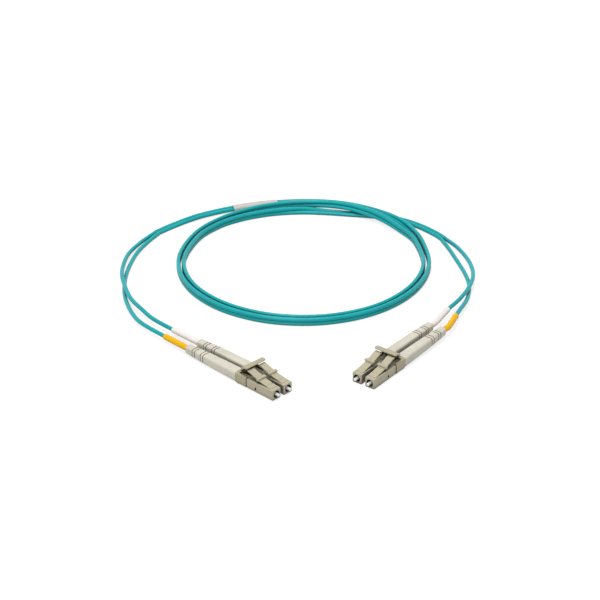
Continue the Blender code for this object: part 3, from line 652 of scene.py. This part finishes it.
@dataclass
class Studio:
    """The camera, the pale floor and the soft lamps round the cord."""

    target: Point = (-0.00675, 0.05539, 0.0)
    distance: float = 0.9298
    pitch: float = 0.49874
    lens: float = 132.0
    sensor_width: float = 36.0
    nearest: float = 0.01
    floor_size: float = 6.0
    floor_roughness: float = 0.9
    floor_tint: float = 0.45
    floor_glow: float = 0.7
    floor_grain: float = 0.2
    floor_wander: float = 0.02
    sky: float = 0.52
    overhead: Lamp = Lamp("overhead", (-0.1, 0.1, 1.2), 0.5, 6.5)
    front_fill: Lamp = Lamp("front_fill", (-0.3, -1.0, 0.6), 0.8, 5.0)

    def place_camera(self) -> None:
        """Puts the camera where the photograph was taken from."""
        data = bpy.data.cameras.new("photo_camera")
        data.lens = self.lens
        data.sensor_width = self.sensor_width
        data.clip_start = self.nearest
        camera = bpy.data.objects.new("photo_camera", data)
        bpy.context.scene.collection.objects.link(camera)
        back = Vector((0.0, -math.cos(self.pitch), math.sin(self.pitch)))
        camera.location = Vector(self.target) + self.distance * back
        camera.rotation_euler = (math.pi / 2 - self.pitch, 0.0, 0.0)
        bpy.context.scene.camera = camera

    def seen_directly(self, nodes: bpy.types.Nodes, links: bpy.types.NodeLinks) -> Socket:
        """A field that is 1 for camera, glossy and transmission rays and 0 for the rest.

        Args:
            nodes: the node tree's nodes.
            links: its links.

        Returns:
            The field.
        """
        path = nodes.new("ShaderNodeLightPath")
        total = path.outputs["Is Camera Ray"]
        for kind in ("Is Glossy Ray", "Is Transmission Ray"):
            either = nodes.new("ShaderNodeMath")
            either.operation = "MAXIMUM"
            links.new(total, either.inputs[0])
            links.new(path.outputs[kind], either.inputs[1])
            total = either.outputs["Value"]
        return total

    def lay_floor(self) -> None:
        """Lays a pale floor that keeps its shadows and looks white where there are none."""
        mesh = bpy.data.meshes.new("floor")
        half = self.floor_size / 2
        corners = [(-half, -half, 0.0), (half, -half, 0.0), (half, half, 0.0), (-half, half, 0.0)]
        mesh.from_pydata(corners, [], [(0, 1, 2, 3)])
        floor = bpy.data.objects.new("floor", mesh)
        bpy.context.scene.collection.objects.link(floor)
        shader = Shader("floor_paper")
        tint = (self.floor_tint,) * 3
        shader.tint(shader.noise(self.floor_grain), tint, shaded(tint, -self.floor_wander))
        shader.fix(Roughness=self.floor_roughness, Specular_IOR_Level=0.0)
        shader.surface.inputs["Emission Color"].default_value = WHITE
        glow = shader.nodes.new("ShaderNodeMath")
        glow.operation = "MULTIPLY"
        glow.inputs[1].default_value = self.floor_glow
        shader.links.new(self.seen_directly(shader.nodes, shader.links), glow.inputs[0])
        shader.links.new(glow.outputs["Value"], shader.surface.inputs["Emission Strength"])
        mesh.materials.append(shader.material)

    def hang(self, lamp: Lamp) -> None:
        """Hangs a lamp so that it faces the cord.

        Args:
            lamp: what to hang, and where.
        """
        data = bpy.data.lights.new(lamp.name, "AREA")
        data.size = lamp.size
        data.energy = lamp.power
        light = bpy.data.objects.new(lamp.name, data)
        bpy.context.scene.collection.objects.link(light)
        light.location = lamp.at
        facing = Vector(self.target) - Vector(lamp.at)
        light.rotation_euler = facing.to_track_quat("-Z", "Y").to_euler()

    def light_world(self) -> None:
        """Fills the room with even light, and shows white behind everything."""
        world = bpy.data.worlds.new("studio")
        bpy.context.scene.world = world
        world.use_nodes = True
        nodes, links = world.node_tree.nodes, world.node_tree.links
        fill = nodes["Background"]
        fill.inputs["Color"].default_value = WHITE
        fill.inputs["Strength"].default_value = self.sky
        behind = nodes.new("ShaderNodeBackground")
        behind.inputs["Color"].default_value = WHITE
        behind.inputs["Strength"].default_value = 1.0
        mix = nodes.new("ShaderNodeMixShader")
        links.new(self.seen_directly(nodes, links), mix.inputs["Fac"])
        links.new(fill.outputs["Background"], mix.inputs[1])
        links.new(behind.outputs["Background"], mix.inputs[2])
        links.new(mix.outputs["Shader"], nodes["World Output"].inputs["Surface"])

    def build(self) -> None:
        """Builds the whole studio."""
        bpy.context.scene.view_settings.view_transform = "Standard"
        self.lay_floor()
        self.hang(self.overhead)
        self.hang(self.front_fill)
        self.light_world()
        LOG.info("studio built")


# --------------------------------------------------------------------------- the cord


@dataclass
class CordSizes:
    """The jacket's sizes, which the legs, the zip and what sits on them share."""

    leg_radius: float = 0.0009
    strand_offset: float = 0.00095
    waist: float = 0.00028
    bore_gap: float = 0.0001
    plug_pitch: float = 0.00625
    axis_height: float = 0.00261
    foot_front: float = -0.0144
    leg_start: float = -0.0253
    boot_cavity_rear: float = -0.0271
    boot_rear: float = -0.0522
    boot_lead: float = 0.004
    marker_gap: float = 0.0003
    white_marker_length: float = 0.0171
    yellow_marker_length: float = 0.0155
    marker_clearance: float = 0.00018
    marker_wall: float = 0.00019
    label_start: float = 0.0411
    label_length: float = 0.021
    label_wall: float = 0.00015


@dataclass
class EndPlace:
    """Where one end lies, as its frame: x forward along the plugs from 0 at the ferrule tips."""

    side: Side
    tips: tuple[float, float]
    heading: float
    tilt: float
    yellow_side: int

    def matrix(self, sizes: CordSizes) -> Matrix:
        """The end's frame, turned and tilted about its foot's front edge.

        Args:
            sizes: the shared sizes.

        Returns:
            The matrix from the end's frame to the whole cord's.
        """
        cosine, sine = math.cos(self.heading), math.sin(self.heading)
        pivot = (self.tips[0] + sizes.foot_front * cosine, self.tips[1] + sizes.foot_front * sine, 0.0)
        turned = Matrix.Rotation(self.heading, 4, "Z") @ Matrix.Rotation(self.tilt, 4, "Y")
        return Matrix.Translation(pivot) @ turned @ Matrix.Translation((-sizes.foot_front, 0.0, 0.0))

    def plug_y(self, code: Code, sizes: CordSizes) -> float:
        """Says where a plug lies across the end.

        Args:
            code: which of the two plugs.
            sizes: the shared sizes.

        Returns:
            The y of its axis in the end's frame.
        """
        side = self.yellow_side if code is Code.YELLOW else -self.yellow_side
        return side * sizes.plug_pitch / 2


@dataclass
class ZipCord:
    """The joined pair of jackets: the run from the left split, the coil and the run to the right one."""

    sizes: CordSizes
    centre: tuple[float, float] = (-0.00517, 0.08683)
    left_run: list[Station] = field(default_factory=list)
    coil: list[Station] = field(default_factory=list)
    right_run: list[Station] = field(default_factory=list)
    section_points: int = 15
    step: float = 0.0022
    jacket_arc: float = math.radians(156)

    def around(self, stations: list[Station]) -> list[Station]:
        """Turns stations round the coil's centre into points.

        Args:
            stations: angles, radii, heights and rolls in degrees and millimetres.

        Returns:
            Places in metres, each with its roll in radians.
        """
        points = []
        for angle, radius, height, roll in stations:
            turn = math.radians(angle)
            x = self.centre[0] + MM * radius * math.sin(turn)
            y = self.centre[1] + MM * radius * math.cos(turn)
            points.append((x, y, MM * height, math.radians(roll)))
        return points

    def route(self) -> list[Vector]:
        """The middle line of the whole zip, from the left split to the right one."""
        return smooth_route(self.around(self.left_run + self.coil + self.right_run))

    def length(self) -> float:
        """The zip's real length."""
        return distances(self.route())[-1]

    def section(self) -> list[Point]:
        """Draws the two round jackets and the thin web that joins them, across x.

        Returns:
            The points of the figure of eight, once round.
        """
        sizes = self.sizes
        points = []
        for side in (1, -1):
            for i in range(self.section_points):
                angle = self.jacket_arc * (2 * i / (self.section_points - 1) - 1)
                y = side * (sizes.strand_offset + sizes.leg_radius * math.cos(angle))
                points.append((0.0, y, side * sizes.leg_radius * math.sin(angle)))
            points.append((0.0, 0.0, side * sizes.waist))
        return points

    def wrap_label(self, palette: Palette) -> bpy.types.Object:
        """Wraps the bare label round the zip.

        Args:
            palette: the finishes.

        Returns:
            The label's piece.
        """
        sizes = self.sizes
        high = sizes.leg_radius + sizes.bore_gap
        wide = sizes.strand_offset + high
        stop = sizes.label_start + sizes.label_length
        stretch = part_of(self.route(), sizes.label_start, stop, self.step / 2)

        def bore(extra: float) -> list[Point]:
            """The flat-sided oval round the zip, wider by extra."""
            return stadium_section(wide + extra, high + extra)

        loops = sleeve_loops(stretch, bore, sizes.label_wall, sizes.label_wall / 2)
        label = show("label_wrap", swept("label_wrap", loops, joined=True), palette.label)
        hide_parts("cord_label")
        return label

    def build(self, palette: Palette) -> bpy.types.Object:
        """Args:
            palette: the finishes.

        Returns:
            The zip's piece.
        """
        route = self.route()
        path = part_of(route, 0.0, self.length(), self.step)
        section = self.section()
        loops = [[frame @ Vector(point) for point in section] for frame in frames_along(path)]
        piece = show("zip_cord", swept("zip_cord", loops, joined=False), palette.jacket)
        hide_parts("zip_run_left", "zip_coil", "zip_run_right")
        self.length()
        self.wrap_label(palette)
        LOG.info("zip cord is %.4f m long", self.length())
        return piece


@dataclass
class Leg:
    """One round leg, from inside its boot to its side of the split."""

    end: EndPlace
    code: Code
    free_points: list[Point]
    strand_side: int
    step: float = 0.0025
    marker_step: float = 0.001
    roundness: int = 6

    @property
    def prefix(self) -> str:
        """The start of the names of this plug's nodes."""
        return f"{self.end.side.value}_{self.code.value}"

    def route(self, sizes: CordSizes, split: Vector, along: Vector) -> list[Vector]:
        """Draws the leg's middle line.

        Args:
            sizes: the shared sizes.
            split: the middle of the zip where it splits.
            along: the zip's direction there, away from the leg.

        Returns:
            The dense route from the boot to the split.
        """
        frame = self.end.matrix(sizes)
        y = self.end.plug_y(self.code, sizes)
        lead = sizes.boot_rear - sizes.boot_lead
        places = (sizes.leg_start, sizes.boot_cavity_rear, sizes.boot_rear, lead)
        inside = [frame @ Vector((x, y, sizes.axis_height)) for x in places]
        free = [MM * Vector(point) for point in self.free_points]
        last = split + Vector((-along.y, along.x, 0.0)) * self.strand_side * sizes.strand_offset
        return smooth_route([*inside, *free, last])

    def slip_marker(self, sizes: CordSizes, palette: Palette, route: list[Vector]) -> bpy.types.Object:
        """Slips the coloured marker sleeve over the leg, behind the boot.

        Args:
            sizes: the shared sizes.
            palette: the finishes.
            route: the leg's dense route.

        Returns:
            The marker's piece.
        """
        start = sizes.leg_start - sizes.boot_rear + sizes.marker_gap
        lengths = {Code.WHITE: sizes.white_marker_length, Code.YELLOW: sizes.yellow_marker_length}
        stretch = part_of(route, start, start + lengths[self.code], self.marker_step)
        radius = sizes.leg_radius + sizes.marker_clearance

        def bore(extra: float) -> list[Point]:
            """The circle round the leg, wider by extra."""
            return round_section(radius + extra)

        loops = sleeve_loops(stretch, bore, sizes.marker_wall, sizes.marker_wall / 2)
        name = f"{self.prefix}_marker_sleeve"
        mesh = swept(name, loops, joined=True)
        marker = show(name, mesh, palette.markers[self.code])
        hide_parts(f"{self.prefix}_marker")
        return marker

    def jacket(self, points: list[Vector], radius: float) -> bpy.types.Curve:
        """Draws the leg's jacket as a round curve.

        Args:
            points: the middle line.
            radius: the jacket's radius.

        Returns:
            The curve, named for the leg.
        """
        curve = bpy.data.curves.new(f"{self.prefix}_cord", "CURVE")
        curve.dimensions = "3D"
        curve.bevel_depth = radius
        curve.bevel_resolution = self.roundness
        curve.use_fill_caps = True
        spline = curve.splines.new("POLY")
        spline.points.add(len(points) - 1)
        for target, point in zip(spline.points, points):
            target.co = (*point, 1.0)
        spline.use_smooth = True
        return curve

    def build(self, sizes: CordSizes, palette: Palette, split: Vector, along: Vector) -> bpy.types.Object:
        """Args:
            sizes: the shared sizes.
            palette: the finishes.
            split: the middle of the zip where it splits.
            along: the zip's direction there, away from the leg.

        Returns:
            The leg's piece.
        """
        route = self.route(sizes, split, along)
        total = distances(route)[-1]
        curve = self.jacket(part_of(route, 0.0, total, self.step), sizes.leg_radius)
        piece = show(curve.name, curve, palette.jacket)
        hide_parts(f"{self.prefix}_leg")
        mouth = Vector((sizes.boot_rear, self.end.plug_y(self.code, sizes), sizes.axis_height))
        tuple(self.end.matrix(sizes) @ mouth)
        self.slip_marker(sizes, palette, route)
        return piece


# --------------------------------------------------------------------------- the plugs


@dataclass
class PlugEnd:
    """Two plugs, their clip and their trigger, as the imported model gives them, dressed."""

    place: EndPlace
    sizes: CordSizes
    nodes: dict[str, bpy.types.Object]
    edge: float = 0.00009
    edge_steps: int = 2
    edge_angle: float = math.radians(40)

    def weld(self, piece: bpy.types.Object) -> None:
        """Joins a piece's coincident points, so that it shades as one surface."""
        weld = piece.modifiers.new("weld", "WELD")
        weld.merge_threshold = WELD_DISTANCE

    def dress(self, name: str, material: bpy.types.Material, edge: float) -> None:
        """Gives a node its finish and, with an edge above 0, softly rounded edges.

        Args:
            name: the node's name.
            material: its finish.
            edge: the rounding's width, or 0 for none.
        """
        node = self.nodes[name]
        node.data.materials.clear()
        node.data.materials.append(material)
        self.weld(node)
        if edge > 0:
            bevel = node.modifiers.new("edges", "BEVEL")
            bevel.width = edge
            bevel.segments = self.edge_steps
            bevel.limit_method = "ANGLE"
            bevel.angle_limit = self.edge_angle
            bevel.harden_normals = True
        LOG.info("dressed %s", name)

    def fit_spring(self, code: Code, palette: Palette) -> bpy.types.Object:
        """Puts in a steel copy of the plug's spring in place of the imported one.

        Args:
            code: the plug that it is in.
            palette: the finishes.

        Returns:
            The spring's piece.
        """
        prefix = f"{self.place.side.value}_{code.value}"
        coil = self.nodes[f"{prefix}_spring"].data.copy()
        coil.materials.clear()
        coil.materials.append(palette.steel)
        frame = self.place.matrix(self.sizes)
        axis = (self.place.plug_y(code, self.sizes), self.sizes.axis_height)
        spring = bpy.data.objects.new(f"{prefix}_wound_spring", coil)
        bpy.context.scene.collection.objects.link(spring)
        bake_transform(spring)
        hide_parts(f"{prefix}_spring")
        self.weld(spring)
        LOG.info("piece %s", spring.name)
        return spring

    def build(self, palette: Palette) -> None:
        """Dresses every node of the end.

        Args:
            palette: the finishes.
        """
        side = self.place.side.value
        self.dress(f"{side}_duplex_clip", palette.clip, self.edge)
        self.dress(f"{side}_trigger", palette.clip, self.edge)
        for code in Code:
            prefix = f"{side}_{code.value}"
            self.dress(f"{prefix}_housing", palette.housing, self.edge)
            self.dress(f"{prefix}_latch", palette.housing, self.edge)
            self.dress(f"{prefix}_rear_body", palette.body, 0.0)
            self.dress(f"{prefix}_boot", palette.boot, 0.0)
            self.dress(f"{prefix}_ferrule", palette.ceramic, 0.0)
            self.dress(f"{prefix}_ferrule_holder", palette.steel, 0.0)
            self.dress(f"{prefix}_crimp_sleeve", palette.steel, 0.0)
            self.fit_spring(code, palette)


def main() -> None:
    """Places the camera, builds the legs, the zip cord and the two ends, and lights them."""
    logging.basicConfig(level=logging.INFO)
    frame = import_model()
    studio = Studio()
    studio.place_camera()
    palette = Palette()
    sizes = CordSizes()
    left = EndPlace(
        side=Side.LEFT,
        tips=(-0.01259, -0.02491),
        heading=math.radians(-44.74),
        tilt=0.0,
        yellow_side=-1,
    )
    right = EndPlace(
        side=Side.RIGHT,
        tips=(0.0173, -0.01645),
        heading=math.radians(-127.82),
        tilt=math.radians(1.4),
        yellow_side=1,
    )
    zip_cord = ZipCord(sizes, left_run=LEFT_RUN, coil=COIL, right_run=RIGHT_RUN)
    legs = [
        Leg(left, Code.WHITE, LEFT_WHITE_ROUTE, 1),
        Leg(left, Code.YELLOW, LEFT_YELLOW_ROUTE, -1),
        Leg(right, Code.WHITE, RIGHT_WHITE_ROUTE, -1),
        Leg(right, Code.YELLOW, RIGHT_YELLOW_ROUTE, 1),
    ]
    route = [point.xyz for point in zip_cord.route()]
    into_left = (route[1] - route[0]).normalized()
    into_right = (route[-2] - route[-1]).normalized()
    for leg in legs:
        on_left = leg.end.side is Side.LEFT
        split, along = (route[0], into_left) if on_left else (route[-1], into_right)
        leg.build(sizes, palette, split, along)
    zip_cord.build(palette)
    for place in (left, right):
        PlugEnd(place, sizes, frame["nodes"]).build(palette)
    studio.build()
    bpy.context.view_layer.update()


# The zip's route round the coil's centre, as (angle, radius, height, roll) in degrees and
# millimetres. Angles grow clockwise seen from above and start at the back of the coil. A roll of
# 0 lies flat, and one of 90 stands on edge with the outer fibre on top.
LEFT_RUN = [
    (-65.3, 71.8, 0.93, 0.0),
    (-60.0, 69.9, 0.93, 0.0),
    (-54.7, 68.3, 0.93, 0.0),
    (-50.0, 67.0, 1.05, 0.0),
    (-45.0, 65.7, 1.15, 0.0),
]
COIL = [
    (-36.0, 63.5, 1.18, 0.0),
    (-29.0, 62.2, 1.2, 0.0),
    (-22.0, 61.3, 1.22, 0.0),
    (-14.0, 60.6, 1.32, 0.0),
    (-7.0, 59.9, 1.6, 0.0),
    (0.0, 59.0, 2.05, 0.0),
    (9.0, 57.9, 2.75, 0.0),
    (19.0, 57.3, 3.2, 0.0),
    (29.0, 57.1, 3.3, 0.0),
    (39.0, 56.9, 3.35, 5.0),
    (49.0, 56.6, 3.15, 35.0),
    (59.0, 56.1, 2.6, 70.0),
    (71.0, 55.4, 1.98, 90.0),
    (95.0, 54.45, 1.88, 90.0),
    (120.0, 53.85, 1.88, 90.0),
    (145.0, 53.7, 1.88, 90.0),
    (170.0, 53.75, 1.88, 90.0),
    (195.0, 53.9, 1.88, 90.0),
    (220.0, 54.1, 1.88, 90.0),
    (245.0, 54.3, 1.88, 90.0),
    (270.0, 54.4, 1.88, 90.0),
    (295.0, 54.4, 1.88, 90.0),
    (315.0, 54.7, 2.05, 90.0),
    (335.0, 54.8, 2.4, 90.0),
    (350.0, 54.7, 2.9, 90.0),
    (362.0, 54.2, 3.45, 85.0),
    (374.0, 53.7, 4.14, 75.0),
    (386.0, 53.4, 4.2, 70.0),
    (400.0, 53.1, 3.5, 80.0),
    (416.0, 52.9, 2.3, 90.0),
    (430.0, 52.8, 1.92, 90.0),
    (455.0, 52.0, 1.88, 90.0),
    (480.0, 51.4, 1.88, 90.0),
    (505.0, 51.35, 1.88, 90.0),
    (530.0, 51.2, 1.88, 90.0),
    (555.0, 51.2, 1.88, 90.0),
    (580.0, 51.4, 1.88, 90.0),
    (605.0, 51.9, 1.88, 90.0),
    (630.0, 52.1, 1.88, 90.0),
    (655.0, 51.9, 1.88, 90.0),
    (672.0, 51.8, 1.88, 90.0),
    (685.0, 51.2, 1.88, 90.0),
    (698.0, 50.5, 1.88, 90.0),
    (710.0, 50.2, 1.89, 80.0),
    (721.0, 50.5, 1.7, 45.0),
    (732.0, 51.2, 1.12, 10.0),
    (743.0, 52.8, 0.93, 0.0),
]
RIGHT_RUN = [
    (753.0, 56.0, 0.93, 0.0),
    (762.0, 59.6, 0.93, 0.0),
    (770.3, 62.2, 0.93, 0.0),
    (778.0, 64.1, 0.93, 0.0),
    (785.4, 65.8, 0.93, 0.0),
    (789.0, 66.4, 0.93, 0.0),
]

# The legs' free routes in millimetres, from each boot to the split.
LEFT_WHITE_ROUTE = [
    (-66.2, 32.7, 2.65),
    (-72.3, 41.6, 2.8),
    (-78.0, 51.7, 3.0),
    (-81.8, 65.1, 3.1),
    (-83.4, 77.0, 2.7),
    (-82.1, 93.4, 1.8),
    (-77.4, 106.5, 1.1),
]
LEFT_YELLOW_ROUTE = [
    (-70.9, 29.7, 2.3),
    (-76.7, 41.0, 1.7),
    (-80.5, 55.0, 1.1),
    (-81.7, 67.3, 0.93),
    (-81.3, 80.0, 0.93),
    (-78.7, 95.2, 0.93),
    (-74.7, 106.3, 0.93),
]
RIGHT_WHITE_ROUTE = [
    (54.6, 40.3, 3.6),
    (60.2, 49.6, 3.6),
    (64.9, 60.5, 3.5),
    (67.5, 72.4, 3.1),
    (66.8, 86.1, 2.2),
    (62.9, 101.1, 1.2),
]
RIGHT_YELLOW_ROUTE = [
    (59.3, 39.9, 3.1),
    (63.7, 53.0, 1.9),
    (65.4, 66.2, 1.1),
    (64.4, 77.3, 0.93),
    (61.9, 88.6, 0.93),
    (58.9, 100.6, 0.93),
]


if __name__ == "__main__":
    main()
